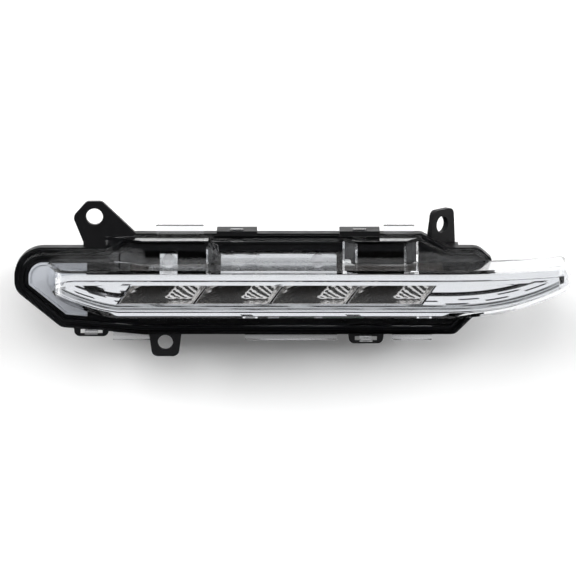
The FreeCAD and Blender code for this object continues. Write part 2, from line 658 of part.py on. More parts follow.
# Posts inside the pan for the heat spreader, the reflector and the driver board
shank = dim.screw_shank * 0.5
post_radius = dim.screw_shank * 1.5
spreader_x = cell_start_x + dim.spreader_from_cells
spreader_screw_xs = (spreader_x + dim.spreader_length * 0.1, spreader_x + dim.spreader_length * 0.9)
spreader_top_z = bar_top_z - dim.lens_wall - dim.stack_gap
spreader_low_z = spreader_top_z - dim.spreader_plate
ridge_top_z = rim_top_z - rim_width - 1
spreader_screw_z = (ridge_top_z + spreader_top_z) * 0.5
board_top_z = spreader_low_z - dim.pad_thickness
reflector_top_z = board_top_z - dim.board_thickness
reflector_low_z = bar_bottom_z + dim.lens_wall + dim.reflector_gap * 0.5
lug_size = dim.screw_head + 2
lug_z = reflector_low_z - lug_size * 0.45
lug_xs = (cell_start_x + dim.cell_pitch * 1.5, cell_end_x - lug_size)
driver_x = lug_xs[0] + dim.driver_from_lug
driver_top_z = reflector_top_z - 5
driver_low_z = driver_top_z - dim.driver_height
driver_back_y = rear_wall_y - dim.driver_standoff
driver_front_y = driver_back_y - dim.board_thickness
corner = dim.screw_head * 0.6
driver_corners = [(driver_x + corner, driver_low_z + corner),
                  (driver_x + dim.driver_length - corner, driver_top_z - corner)]
post_list = []
for x in spreader_screw_xs:
    post_list.append((x, spreader_screw_z, dim.source_back))
for x in lug_xs:
    post_list.append((x, lug_z, dim.reflector_back))
for x, z in driver_corners:
    post_list.append((x, z, driver_back_y))
posts = []
pilots = []
pilot_depth = dim.screw_shank * 3
for number, (x, z, seat) in enumerate(post_list):
    posts.append(rod("post_%d" % number, x, z, smaller(post_radius, dim.screw_head * 0.6), seat, rear_wall_y + 1))
    pilots.append(rod("pilot_%d" % number, x, z, shank + dim.fit_gap * 0.5, seat - 1,
                      smaller(seat + pilot_depth, rear_wall_y + dim.pan_wall * 0.4)))

# Rear wall: stiffening ribs and the openings for the connector and the vent
rear_ribs = []
rib_span = cell_end_x - cell_start_x
for number in range(5):
    x = cell_start_x - 30 + rib_span * 0.27 * number
    rear_ribs.append(box("rear_rib_%d" % number, x, x + dim.rib_width, rear_wall_y, dim.pan_depth + dim.rear_rib,
                         -far, far))
rib_field = ring_plate("rib_field", rim_width - dim.pan_wall, rear_wall_y, dim.pan_depth + dim.rear_rib)
rib_set = common("rib_set", [fuse("rib_bars", rear_ribs), rib_field])
socket_x = driver_x + dim.driver_length * 0.5
socket_z = (driver_top_z + driver_low_z) * 0.5
socket_half = dim.socket_width * 0.5
socket_rise = dim.socket_height * 0.5
vent_x = cell_start_x + dim.cell_pitch * 0.55
vent_z = socket_z
stem_radius = dim.vent_radius * 0.4
flange_half = socket_half + dim.socket_flange
flange_rise = socket_rise + dim.socket_flange
flat_land = box("flat_land", socket_x - flange_half - 2, socket_x + flange_half + 2,
                dim.pan_depth, dim.pan_depth + dim.rear_rib + 1, -far, far)
vent_land = rod("vent_land", vent_x, vent_z, dim.vent_radius + 2, dim.pan_depth,
                dim.pan_depth + dim.rear_rib + 1)
clear_ribs = cut("clear_ribs", rib_set, fuse("lands", [flat_land, vent_land]))
socket_opening = box("socket_opening", socket_x - socket_half * 0.8, socket_x + socket_half * 0.8,
                     rear_wall_y - 1, dim.pan_depth + 1, socket_z - socket_rise * 0.8, socket_z + socket_rise * 0.8)
vent_opening = rod("vent_opening", vent_x, vent_z, stem_radius, rear_wall_y - 1, dim.pan_depth + 1)
openings = [socket_opening, vent_opening]
ears = [upper_ear, lower_ear, outer_ear, ear_root]
housing_form = fuse("housing_form", [rim_block, pan_block] + ears + gussets + loops)
shell = cut("shell", housing_form, fuse("housing_cuts", [cavity, groove] + loop_cuts + holes))
bored = cut("bored", shell, outer_hole)
posted = fuse("posted", [bored, clear_ribs] + posts)
housing = cut("housing", posted, fuse("housing_bores", pilots + openings))

# Reflector: a swept block with plain scoops at its ends and a box with a row of leaning, faceted cells
reflector_wall = dim.lens_wall + dim.reflector_gap
reflector_front_y = bar_front_y + reflector_wall
reflector_rear_y = deck_front_y - dim.lens_wall - dim.reflector_gap * 0.5
below_board = box("below_board", -far, far, -far, far, -far, reflector_top_z)
reflector_form = bar_form("reflector_form", reflector_wall, reflector_rear_y)
reflector_strip = common("reflector_strip", [reflector_form, below_board])
box_left_x = cell_start_x - dim.reflector_end * 2
box_right_x = cell_end_x + dim.reflector_end
reflector_box = box("reflector_box", box_left_x, box_right_x, reflector_front_y + dim.scoop_depth,
                    dim.reflector_back, reflector_low_z, reflector_top_z)
lug_list = []
lug_holes = []
for number, x in enumerate(lug_xs):
    lug_list.append(box("lug_%d" % number, x - lug_size * 0.5, x + lug_size * 0.5,
                        dim.reflector_back - 3, dim.reflector_back, lug_z - lug_size * 0.45, reflector_low_z + 1))
    lug_holes.append(rod("lug_hole_%d" % number, x, lug_z, shank + dim.fit_gap * 0.5,
                         dim.reflector_back - 5, dim.reflector_back + 1))
shelf_z = reflector_low_z + dim.reflector_lip
scoop_roof_z = reflector_top_z - dim.scoop_top
scoop_rise = scoop_roof_z - shelf_z
scoop_profile = drawing("scoop_profile", SIDE, [
    (reflector_front_y - 5, shelf_z, 0),
    (reflector_front_y - 5, scoop_roof_z, 0),
    (reflector_front_y + dim.scoop_depth, scoop_roof_z, 0),
    (reflector_front_y + dim.scoop_depth, shelf_z, scoop_rise * 0.85),
])
bind(scoop_profile, "Placement.Base.x", cell_end_x)
scoop_run = extrude("scoop_run", scoop_profile, Vector(1, 0, 0), -far, 0)
scoop_turn = doc.addObject("Part::Revolution", "scoop_turn")
scoop_turn.Source = scoop_profile
scoop_turn.Axis = Vector(0, 0, 1)
scoop_turn.Solid = True
bind(scoop_turn, "Base.x", cell_end_x)
bind(scoop_turn, "Base.y", dim.bend_radius)
bind(scoop_turn, "Angle", dim.bend_angle)
scoop = fuse("scoop", [scoop_run, scoop_turn])
scoop_span = box("scoop_span", bar_left_x + dim.lens_wall + dim.bar_end_slope * 1.5, bar_right_x - dim.lens_wall * 3,
                 -far, far, -far, far)
plain_scoops = common("plain_scoops", [scoop, scoop_span])


def cell_section(name, left, depth, draw_in, rise):
    """One section of a cell in front view, a six sided outline that leans to the right."""
    width = dim.cell_pitch - dim.cell_rib
    high = reflector_top_z + 1
    low = shelf_z + rise
    mid = low + dim.cell_chamfer
    section = drawing(name, FRONT, [
        (left + dim.cell_lean + draw_in, high, 0),
        (left + dim.cell_lean * 0.35 + draw_in, mid, 0),
        (left + dim.cell_chamfer + draw_in, low, 0),
        (left + width - dim.cell_chamfer - draw_in, low, 0),
        (left + width + dim.cell_lean * 0.35 - draw_in, mid, 0),
        (left + width + dim.cell_lean - draw_in, high, 0),
    ])
    bind(section, "Placement.Base.y", depth)
    return section


cells = []
for number in range(CELL_COUNT):
    left = cell_start_x - dim.cell_lean + dim.cell_pitch * number
    name = "cell_%d" % (number + 1)
    loft = doc.addObject("Part::Loft", name)
    loft.Sections = [
        cell_section(name + "_mouth", left, reflector_front_y - 1, as_size(0), as_size(0)),
        cell_section(name + "_waist", left, reflector_front_y + dim.cell_depth * 0.55, dim.cell_draw * 0.3,
                     dim.cell_chamfer * 0.25),
        cell_section(name + "_back", left, reflector_front_y + dim.cell_depth, dim.cell_draw, dim.cell_chamfer),
    ]
    loft.Ruled = True
    loft.Solid = True
    cells.append(loft)
bowl_cut = fuse("cell_row", cells)
reflector = cut("reflector", fuse("reflector_solid", [reflector_strip, reflector_box] + lug_list),
                fuse("reflector_cuts", [plain_scoops, bowl_cut] + lug_holes))

# Inner bezel, a plate on the inner wall of the rim channel
bezel_sheet = ring_plate("bezel_sheet", dim.bezel_inset, -dim.bezel_thickness, 0)
bezel_zone = box("bezel_zone", -far, bar_left_x + dim.bezel_length, -far, far, -far, far)
bezel_border = cut("bezel_border",
                   ring_plate("border_out", dim.bezel_inset, -dim.bezel_thickness * 1.6, 0),
                   ring_plate("border_in", dim.bezel_inset + dim.bezel_thickness * 0.7, -far, far))
inner_bezel = common("inner_bezel", [fuse("bezel_form", [bezel_sheet, bezel_border]), bezel_zone])

# Light board with one source over each cell, pad and heat spreader on top of it
board_front_y = reflector_front_y + 0.5
led_board = box("led_board", box_left_x, box_right_x, board_front_y, dim.reflector_back + 3,
                reflector_top_z, board_top_z)
leds = []
for number in range(CELL_COUNT):
    centre = cell_start_x + dim.cell_pitch * (number + 0.5)
    base = doc.addObject("PartDesign::Body", "led_%d" % (number + 1))
    face = base.newObject("Sketcher::SketchObject", "led_face_%d" % (number + 1))
    plane = [item for item in base.Origin.OriginFeatures if item.Role == "XY_Plane"][0]
    face.AttachmentSupport = [(plane, "")]
    face.MapMode = "FlatFace"
    half = dim.led_size * 0.5
    outline(face, [(-half, -half, 0), (half, -half, 0), (half, half, 0), (-half, half, 0)])
    pad = base.newObject("PartDesign::Pad", "led_block_%d" % (number + 1))
    pad.Profile = face
    bind(pad, "Length", dim.led_height)
    bind_base(base, centre, reflector_front_y + dim.cell_depth * 0.45, reflector_top_z - dim.led_height)
    leds.append(base)
thermal_pad = box("thermal_pad", spreader_x, spreader_x + dim.spreader_length, board_front_y + 2,
                  dim.reflector_back + 2, board_top_z, spreader_low_z)
ridge_front_y = deck_back_y + dim.screw_head_height + 0.7
spreader_bar = extrude("spreader_bar", drawing("spreader_profile", SIDE, [
    (board_front_y, spreader_low_z, 0),
    (dim.source_back, spreader_low_z, 0),
    (dim.source_back, ridge_top_z, dim.spreader_plate),
    (ridge_front_y, ridge_top_z, dim.spreader_plate * 1.5),
    (ridge_front_y, spreader_top_z, 0),
    (board_front_y, spreader_top_z, 0),
]), Vector(1, 0, 0), spreader_x, spreader_x + dim.spreader_length)
spreader_holes = []
for number, x in enumerate(spreader_screw_xs):
    spreader_holes.append(rod("spreader_hole_%d" % number, x, spreader_screw_z, shank + dim.fit_gap * 0.5,
                              ridge_front_y - 1, dim.source_back + 1))
boss_half = dim.screw_head * 0.75
ridge_gaps = [
    box("ridge_end", spreader_x - 1, spreader_screw_xs[0] - boss_half, -far, far, spreader_top_z, far),
    box("ridge_gap", spreader_screw_xs[0] + boss_half, spreader_x + dim.ridge_from_end, -far, far,
        spreader_top_z, far),
]
heat_spreader = cut("heat_spreader", spreader_bar, fuse("spreader_cuts", spreader_holes + ridge_gaps))


def screw(name, x, z, seat, length, pan):
    """A screw driven back along Y, with a cross recessed pan head or a hexagon head in front of its seat."""
    top_y = seat - dim.screw_head_height
    body = rod(name + "_body", x, z, shank, seat, seat + length)
    if pan:
        head = rod(name + "_head", x, z, dim.screw_head * 0.5, top_y, seat)
        recess = []
        for turn, (wide, tall) in enumerate(((0.28, 0.06), (0.06, 0.28))):
            recess.append(box("%s_cross_%d" % (name, turn), x - dim.screw_head * wide, x + dim.screw_head * wide,
                              top_y - 1, top_y + dim.screw_head_height * 0.5,
                              z - dim.screw_head * tall, z + dim.screw_head * tall))
        return cut(name, fuse(name + "_form", [head, body]), fuse(name + "_cross", recess))
    head = doc.addObject("Part::Prism", name + "_head")
    head.Polygon = 6
    bind(head, "Circumradius", dim.screw_head * 0.5)
    bind(head, "Height", dim.screw_head_height)
    head.Placement = Placement(Vector(0, 0, 0), Rotation(Vector(1, 0, 0), -90))
    bind_base(head, x, top_y, z)
    return fuse(name, [head, body])


spreader_screws = group("spreader_screws", [
    screw("spreader_screw_%d" % number, x, spreader_screw_z, ridge_front_y,
          dim.source_back - ridge_front_y + pilot_depth * 0.8, True)
    for number, x in enumerate(spreader_screw_xs)])
reflector_screws = group("reflector_screws", [
    screw("reflector_screw_%d" % number, x, lug_z, dim.reflector_back - 3, pilot_depth * 0.8 + 3, False)
    for number, x in enumerate(lug_xs)])

# White socket on the light board beside the heat spreader
header_x = spreader_x + dim.spreader_length + dim.header_gap
header_y = dim.reflector_back - dim.header_depth * 0.7
header_back_y = header_y + dim.header_depth
header_top_z = board_top_z + dim.header_height
mouth_y = header_y + dim.header_wall * 2
header_block = box("header_block", header_x, header_x + dim.header_length, header_y, header_back_y,
                   board_top_z, header_top_z)
header_mouth = box("header_mouth", header_x + dim.header_wall, header_x + dim.header_length - dim.header_wall,
                   mouth_y, header_back_y + 1, board_top_z + dim.header_wall, header_top_z - dim.header_wall)
led_header = cut("led_header", header_block, header_mouth)

# Driver board on its posts with the coil, two capacitors and the control chip
board_sheet = box("board_sheet", driver_x, driver_x + dim.driver_length, driver_front_y, driver_back_y,
                  driver_low_z, driver_top_z)
board_holes = []
driver_screw_list = []
for number, (x, z) in enumerate(driver_corners):
    board_holes.append(rod("board_hole_%d" % number, x, z, shank + dim.fit_gap * 0.5, driver_front_y - 1,
                           driver_back_y + 1))
    driver_screw_list.append(screw("driver_screw_%d" % number, x, z, driver_front_y,
                                   dim.board_thickness + dim.driver_standoff * 0.8, False))
driver_board = cut("driver_board", board_sheet, fuse("board_holes", board_holes))
driver_screws = group("driver_screws", driver_screw_list)
driver_mid_z = (driver_top_z + driver_low_z) * 0.5
coil_x = driver_x + dim.driver_length * 0.36
coil_half = dim.driver_height * 0.23
driver_coil = box("driver_coil", coil_x - coil_half, coil_x + coil_half, driver_front_y - coil_half * 1.2,
                  driver_front_y, driver_mid_z - coil_half, driver_mid_z + coil_half)
driver_capacitors = group("driver_capacitors", [
    rod("capacitor_%d" % number, driver_x + dim.driver_length * 0.53, driver_mid_z + dim.capacitor_spread * side,
        dim.capacitor_radius, driver_front_y - dim.capacitor_height, driver_front_y)
    for number, side in enumerate((-1, 1))])
lead_end_z = driver_top_z - dim.lead_drop
chip_x = driver_x + dim.driver_length * 0.66
chip_top_z = lead_end_z - dim.lead_radius - dim.piece_gap
driver_chip = box("driver_chip", chip_x, chip_x + dim.chip_length, driver_front_y - dim.chip_thickness,
                  driver_front_y, chip_top_z - dim.chip_height, chip_top_z)

# Jumper lead, two wires from the header over the reflector and down to the driver board
lead_z = board_top_z + dim.header_height * 0.5
lead_x = header_x + dim.header_length * 0.5
lead_back_y = driver_front_y - dim.lead_bend
wires = []
for number, side in enumerate((-1, 1)):
    x = lead_x + dim.lead_spread * side
    path = doc.addObject("Sketcher::SketchObject", "lead_path_%d" % number)
    path.Placement = Placement(Vector(0, 0, 0), SIDE)
    corner_points = [(mouth_y, lead_z), (lead_back_y, lead_z), (lead_back_y, lead_end_z),
                     (driver_front_y, lead_end_z)]
    spots = [Vector(as_size(across).value, as_size(up).value, 0) for across, up in corner_points]
    legs = [path.addGeometry(Part.LineSegment(spots[i], spots[i + 1])) for i in range(3)]
    for i in range(2):
        path.addConstraint(Sketcher.Constraint("Coincident", legs[i], 2, legs[i + 1], 1))
    for i, (across, up) in enumerate(corner_points):
        leg = legs[min(i, 2)]
        end = 1 if i < 3 else 2
        for axis, place in (("DistanceX", as_size(across)), ("DistanceY", as_size(up))):
            tie = path.addConstraint(Sketcher.Constraint(axis, -1, 1, leg, end, place.value))
            path.setExpression("Constraints[%d]" % tie, place.text)
    bind(path, "Placement.Base.x", x)
    ends = doc.addObject("Part::Circle", "lead_section_%d" % number)
    bind(ends, "Radius", dim.lead_radius)
    ends.Placement = Placement(Vector(0, 0, 0), Rotation(Vector(1, 0, 0), -90))
    bind_base(ends, x, mouth_y, lead_z)
    wire = doc.addObject("Part::Sweep", "wire_%d" % number)
    wire.Sections = [ends]
    wire.Spine = (path, ["Edge1", "Edge2", "Edge3"])
    wire.Solid = True
    wire.Transition = "Right corner"
    wires.append(wire)
jumper_lead = group("jumper_lead", wires)

# Connector: gasket and flange on the rear wall, open shroud behind, pins through to the driver board
gasket_back_y = dim.pan_depth + dim.gasket_thickness
flange_back_y = gasket_back_y + dim.socket_flange
socket_back_y = flange_back_y + dim.socket_depth
connector_gasket = cut("connector_gasket",
                       box("gasket_sheet", socket_x - flange_half, socket_x + flange_half, dim.pan_depth,
                           gasket_back_y, socket_z - flange_rise, socket_z + flange_rise),
                       box("gasket_window", socket_x - socket_half * 0.8, socket_x + socket_half * 0.8,
                           dim.pan_depth - 1, gasket_back_y + 1, socket_z - socket_rise * 0.8,
                           socket_z + socket_rise * 0.8))
plug_front_y = rear_wall_y - 2
socket_form = fuse("socket_form", [
    box("socket_plate", socket_x - flange_half, socket_x + flange_half, gasket_back_y, flange_back_y,
        socket_z - flange_rise, socket_z + flange_rise),
    box("socket_shroud", socket_x - socket_half, socket_x + socket_half, gasket_back_y, socket_back_y,
        socket_z - socket_rise, socket_z + socket_rise),
    box("socket_plug", socket_x - socket_half * 0.8 + dim.fit_gap, socket_x + socket_half * 0.8 - dim.fit_gap,
        plug_front_y, gasket_back_y, socket_z - socket_rise * 0.8 + dim.fit_gap,
        socket_z + socket_rise * 0.8 - dim.fit_gap),
    box("socket_wing", socket_x - socket_half * 0.5, socket_x + socket_half * 0.5, plug_front_y, rear_wall_y,
        socket_z - socket_rise * 0.95, socket_z + socket_rise * 0.95),
    box("socket_latch", socket_x - dim.latch_width * 0.5, socket_x + dim.latch_width * 0.5, flange_back_y,
        socket_back_y - dim.latch_recess, socket_z + socket_rise, socket_z + socket_rise + dim.latch_height)])
pin_list = []
pin_holes = []
pin_half = dim.pin_width * 0.5
pin_rise = dim.pin_thickness * 0.5
slot_half = pin_half + dim.pin_slack
slot_rise = pin_rise + dim.pin_slack
for number, side in enumerate((-1, 0, 1)):
    x = socket_x + dim.pin_pitch * side
    pin_list.append(box("pin_%d" % number, x - pin_half, x + pin_half, driver_back_y, socket_back_y - dim.pin_recess,
                        socket_z - pin_rise, socket_z + pin_rise))
    pin_holes.append(box("pin_hole_%d" % number, x - slot_half, x + slot_half, driver_back_y, socket_back_y,
                         socket_z - slot_rise, socket_z + slot_rise))
socket_mouth = box("socket_mouth", socket_x - socket_half + dim.socket_wall, socket_x + socket_half - dim.socket_wall,
                   flange_back_y, socket_back_y + 1, socket_z - socket_rise + dim.socket_wall,
                   socket_z + socket_rise - dim.socket_wall)
connector_socket = cut("connector_socket", socket_form,
                       fuse("socket_cuts", [socket_mouth] + pin_holes))
connector_pins = group("connector_pins", pin_list)

# Vent cap with its stem in the rear wall
vent_cap = fuse("vent_cap", [
    rod("vent_dome", vent_x, vent_z, dim.vent_radius, dim.pan_depth, dim.pan_depth + dim.vent_height * 0.6),
    rod("vent_crown", vent_x, vent_z, dim.vent_radius * 0.7, dim.pan_depth, dim.pan_depth + dim.vent_height),
    rod("vent_stem", vent_x, vent_z, stem_radius - dim.fit_gap * 0.3, rear_wall_y - 2, dim.pan_depth)])

# Every sub-part by the name of its node
nodes = [housing, outer_lens, lens_seal, reflector, inner_bezel, led_board] + leds
nodes += [thermal_pad, heat_spreader, spreader_screws, reflector_screws, led_header]
nodes += [driver_board, driver_screws, driver_coil, driver_capacitors, driver_chip, jumper_lead]
nodes += [connector_gasket, connector_socket, connector_pins, vent_cap]
doc.recompute()

for item in doc.Objects:
    if "Invalid" in item.State or "Error" in item.State:
        raise RuntimeError("%s did not build" % item.Name)
os.makedirs("parts", exist_ok=True)
for item in nodes:
    item.Label = item.Name
    if item.Shape.isNull() or not item.Shape.isValid():
        raise RuntimeError("%s has no valid shape" % item.Label)
    item.Shape.exportStep("parts/%s.step" % item.Label)
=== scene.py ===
import math

import bmesh
import bpy
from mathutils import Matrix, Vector


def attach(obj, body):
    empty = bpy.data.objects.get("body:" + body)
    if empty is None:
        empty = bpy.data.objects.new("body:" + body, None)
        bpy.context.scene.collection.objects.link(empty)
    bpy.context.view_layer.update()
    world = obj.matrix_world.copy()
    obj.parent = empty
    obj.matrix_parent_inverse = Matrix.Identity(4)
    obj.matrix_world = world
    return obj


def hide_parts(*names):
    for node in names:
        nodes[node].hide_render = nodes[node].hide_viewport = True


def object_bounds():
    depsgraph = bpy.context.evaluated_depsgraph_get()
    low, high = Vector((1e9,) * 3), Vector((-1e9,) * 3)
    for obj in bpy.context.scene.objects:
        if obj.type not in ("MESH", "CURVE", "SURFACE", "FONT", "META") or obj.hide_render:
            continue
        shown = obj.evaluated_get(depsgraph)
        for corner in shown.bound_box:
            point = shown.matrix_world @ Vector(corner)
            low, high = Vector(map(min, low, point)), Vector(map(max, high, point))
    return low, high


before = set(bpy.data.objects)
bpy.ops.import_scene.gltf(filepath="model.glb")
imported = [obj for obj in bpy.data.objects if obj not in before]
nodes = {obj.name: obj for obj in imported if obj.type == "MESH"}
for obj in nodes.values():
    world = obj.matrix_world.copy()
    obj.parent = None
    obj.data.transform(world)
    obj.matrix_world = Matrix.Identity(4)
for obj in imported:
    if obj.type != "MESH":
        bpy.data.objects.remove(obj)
cad_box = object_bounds()
scene = bpy.context.scene
MM = 0.001

# Sizes of the light bar in mm, which the lens and the reflector share
DECK = -8.0
BAR_TOP = -28.0
BAR_LOW = -59.0
BEND_X = 223.4
BEND_RADIUS = 176.0
INNER_END = -31.0
OUTER_END = 308.0
END_RISE = 16.0
CURVE_INNER_FOOT = 17.0
CURVE_OUTER_FOOT = 225.0


def share(value, low, high):
    """How far the value has come from low to high, from 0 to 1."""
    return min(max((value - low) / (high - low), 0.0), 1.0)


def ease(value, low, high):
    """The same share with a soft start and a soft end."""
    part = share(value, low, high)
    return part * part * (3 - 2 * part)


# Materials: every colour and roughness varies a little over the surface
GRAIN_HEIGHT = 0.1 * MM
GRAIN_LOW = 0.3
GRAIN_HIGH = 0.7
LENS_GRAIN = 25.0
LENS_TINT = (0.9, 0.91, 0.92, 1)
WHITE = (1, 1, 1, 1)


def new_material(name):
    material = bpy.data.materials.new(name)
    material.use_nodes = True
    tree = material.node_tree
    shader = tree.nodes["Principled BSDF"]
    return material, tree, shader


def noise(tree, scale, detail=3.0):
    place = tree.nodes.new("ShaderNodeTexCoord")
    grain = tree.nodes.new("ShaderNodeTexNoise")
    grain.inputs["Scale"].default_value = scale
    grain.inputs["Detail"].default_value = detail
    tree.links.new(place.outputs["Object"], grain.inputs["Vector"])
    return grain.outputs["Fac"]


def spread(tree, factor, low, high):
    """A number between low and high that follows the factor."""
    ramp = tree.nodes.new("ShaderNodeMapRange")
    ramp.inputs["From Min"].default_value = GRAIN_LOW
    ramp.inputs["From Max"].default_value = GRAIN_HIGH
    ramp.inputs["To Min"].default_value = low
    ramp.inputs["To Max"].default_value = high
    tree.links.new(factor, ramp.inputs["Value"])
    return ramp.outputs["Result"]


def two_tone(tree, factor, first, second):
    """A colour between two that follows the factor."""
    mix = tree.nodes.new("ShaderNodeMix")
    mix.data_type = "RGBA"
    mix.inputs["A"].default_value = (*first, 1)
    mix.inputs["B"].default_value = (*second, 1)
    tree.links.new(factor, mix.inputs["Factor"])
    return mix.outputs["Result"]


def greatest(tree, first, second):
    """The greater of two numbers."""
    node = tree.nodes.new("ShaderNodeMath")
    node.operation = "MAXIMUM"
    tree.links.new(first, node.inputs[0])
    tree.links.new(second, node.inputs[1])
    return node.outputs[0]


def seen_rays(tree):
    """One for what the eye, the mirror faces and the clear parts see, zero for what lights the rest."""
    rays = tree.nodes.new("ShaderNodeLightPath").outputs
    direct = greatest(tree, rays["Is Camera Ray"], rays["Is Glossy Ray"])
    return greatest(tree, direct, rays["Is Transmission Ray"])


def blend(tree, factor, first, second, output):
    """The first shader where the factor is zero, the second where it is one."""
    mix = tree.nodes.new("ShaderNodeMixShader")
    tree.links.new(factor, mix.inputs["Fac"])
    tree.links.new(first.outputs[0], mix.inputs[1])
    tree.links.new(second.outputs[0], mix.inputs[2])
    tree.links.new(mix.outputs[0], output.inputs["Surface"])


def see_through(tree, colour):
    node = tree.nodes.new("ShaderNodeBsdfTransparent")
    node.inputs["Color"].default_value = colour
    return node


def surface(name, first, second, rough, scale=120.0, metallic=0.0, bump=0.0, bump_scale=1500.0, sheen=0.5):
    """An opaque surface with a fine grain."""
    material, tree, shader = new_material(name)
    grain = noise(tree, scale)
    tree.links.new(two_tone(tree, grain, first, second), shader.inputs["Base Color"])
    tree.links.new(spread(tree, grain, *rough), shader.inputs["Roughness"])
    shader.inputs["Metallic"].default_value = metallic
    shader.inputs["Specular IOR Level"].default_value = sheen
    if bump:
        relief = tree.nodes.new("ShaderNodeBump")
        relief.inputs["Strength"].default_value = bump
        relief.inputs["Distance"].default_value = GRAIN_HEIGHT
        tree.links.new(noise(tree, bump_scale, detail=2.0), relief.inputs["Height"])
        tree.links.new(relief.outputs["Normal"], shader.inputs["Normal"])
    return material


def clear(name, first, second, rough, index):
    """A clear moulding, which lets light through to what it covers."""
    material, tree, shader = new_material(name)
    grain = noise(tree, LENS_GRAIN)
    tree.links.new(two_tone(tree, grain, first, second), shader.inputs["Base Color"])
    tree.links.new(spread(tree, grain, *rough), shader.inputs["Roughness"])
    shader.inputs["Transmission Weight"].default_value = 1.0
    shader.inputs["IOR"].default_value = index
    rays = tree.nodes.new("ShaderNodeLightPath").outputs
    lighting = greatest(tree, rays["Is Shadow Ray"], rays["Is Diffuse Ray"])
    blend(tree, lighting, shader, see_through(tree, LENS_TINT), tree.nodes["Material Output"])
    return material


black = surface("black_plastic", (0.003, 0.003, 0.0035), (0.006, 0.006, 0.0065), (0.36, 0.48),
                bump=0.25, sheen=0.12)
lens_clear = clear("clear_lens", (0.955, 0.965, 0.98), (0.975, 0.98, 0.99), (0.0, 0.03), index=1.58)
satin = surface("satin_metal", (0.50, 0.51, 0.52), (0.62, 0.63, 0.64), (0.14, 0.24), scale=60.0, metallic=1.0)
rubber = surface("seal_rubber", (0.016, 0.016, 0.017), (0.028, 0.028, 0.028), (0.6, 0.75), bump=0.3)
chrome = surface("metallised", (0.88, 0.885, 0.90), (0.94, 0.945, 0.955), (0.03, 0.07),
                 scale=40.0, metallic=1.0)
# Painted reflection: the warm brownish low tone and the small diffuse share of the mirror cells paint in the
# brown board's reflection; the grain itself varies at random
prism = surface("prism_mirror", (0.66, 0.63, 0.60), (0.93, 0.93, 0.93), (0.05, 0.14),
                scale=600.0, metallic=0.93, bump=1.0, bump_scale=700.0)
bezel_grey = surface("bezel_grey", (0.54, 0.545, 0.57), (0.64, 0.645, 0.67), (0.3, 0.42),
                     scale=90.0, bump=0.15)
board_brown = surface("board", (0.022, 0.016, 0.012), (0.038, 0.027, 0.021), (0.4, 0.55),
                      scale=200.0, sheen=0.3)
led_yellow = surface("led_body", (0.84, 0.80, 0.58), (0.95, 0.92, 0.76), (0.2, 0.35), scale=700.0)
pad_grey = surface("pad", (0.45, 0.46, 0.50), (0.58, 0.59, 0.62), (0.6, 0.8))
aluminium = surface("aluminium", (0.76, 0.77, 0.78), (0.85, 0.86, 0.87), (0.2, 0.32),
                    scale=60.0, metallic=1.0, bump=0.1)
steel = surface("screw_steel", (0.86, 0.86, 0.87), (0.94, 0.94, 0.95), (0.3, 0.45), scale=300.0, metallic=1.0)
white = surface("white_plastic", (0.80, 0.80, 0.78), (0.90, 0.90, 0.88), (0.4, 0.55))
green = surface("driver_green", (0.02, 0.11, 0.05), (0.05, 0.18, 0.09), (0.35, 0.5), scale=250.0)
ferrite = surface("coil_ferrite", (0.035, 0.035, 0.04), (0.06, 0.06, 0.065), (0.5, 0.7),
                  scale=400.0, bump=0.3)
can_metal = surface("can_metal", (0.60, 0.61, 0.63), (0.70, 0.71, 0.73), (0.22, 0.35),
                    scale=200.0, metallic=1.0)
epoxy = surface("chip_black", (0.014, 0.014, 0.014), (0.026, 0.026, 0.026), (0.5, 0.65),
                scale=500.0, bump=0.2)
wire_red = surface("lead_red", (0.28, 0.02, 0.02), (0.40, 0.04, 0.035), (0.35, 0.5))
brass = surface("pin_brass", (0.68, 0.55, 0.26), (0.80, 0.68, 0.36), (0.2, 0.35), scale=300.0, metallic=1.0)
grey_plastic = surface("grey_plastic", (0.045, 0.045, 0.05), (0.07, 0.07, 0.075), (0.4, 0.55), bump=0.25)

finishes = {
    "housing": black, "outer_lens": lens_clear, "lens_seal": rubber, "reflector": chrome,
    "inner_bezel": bezel_grey, "led_board": board_brown, "thermal_pad": pad_grey, "heat_spreader": aluminium,
    "spreader_screws": steel, "reflector_screws": steel, "driver_screws": steel, "led_header": white,
    "driver_board": green, "driver_coil": ferrite, "driver_capacitors": can_metal, "driver_chip": epoxy,
    "jumper_lead": wire_red, "connector_gasket": rubber, "connector_socket": grey_plastic,
    "connector_pins": brass, "vent_cap": grey_plastic,
    "led_1": led_yellow, "led_2": led_yellow, "led_3": led_yellow, "led_4": led_yellow,
}
for name, node in nodes.items():
    node.data.materials.clear()
    node.data.materials.append(finishes[name])

# Small roundings in mm on the edges of moulded and machined pieces
WELD = 0.01
FLAT_ANGLE = math.radians(0.5)
EDGE_ANGLE = math.radians(35.0)
EDGE_SEGMENTS = 3
EDGE_WIDTHS = {
    "housing": 0.5, "inner_bezel": 0.4, "heat_spreader": 0.4, "connector_socket": 0.5, "vent_cap": 0.6,
}


def round_edges(node, width):
    weld = node.modifiers.new("weld", "WELD")
    weld.merge_threshold = WELD * MM
    flats = node.modifiers.new("flats", "DECIMATE")
    flats.decimate_type = "DISSOLVE"
    flats.angle_limit = FLAT_ANGLE
    bevel = node.modifiers.new("bevel", "BEVEL")
    bevel.width = width * MM
    bevel.segments = EDGE_SEGMENTS
    bevel.limit_method = "ANGLE"
    bevel.angle_limit = EDGE_ANGLE
    bevel.harden_normals = True


for name, width in EDGE_WIDTHS.items():
    round_edges(nodes[name], width)

# Lower edge of the light bar: level in the middle, rising at both ends, in mm
FLAT_INNER_FOOT = 7.0
FLAT_OUTER_FOOT = 233.9
FLAT_OUTER_KNEE = 270.0
KNEE_RISE = 2.9
INNER_POWER = 1.5
OUTER_POWER = 2.4


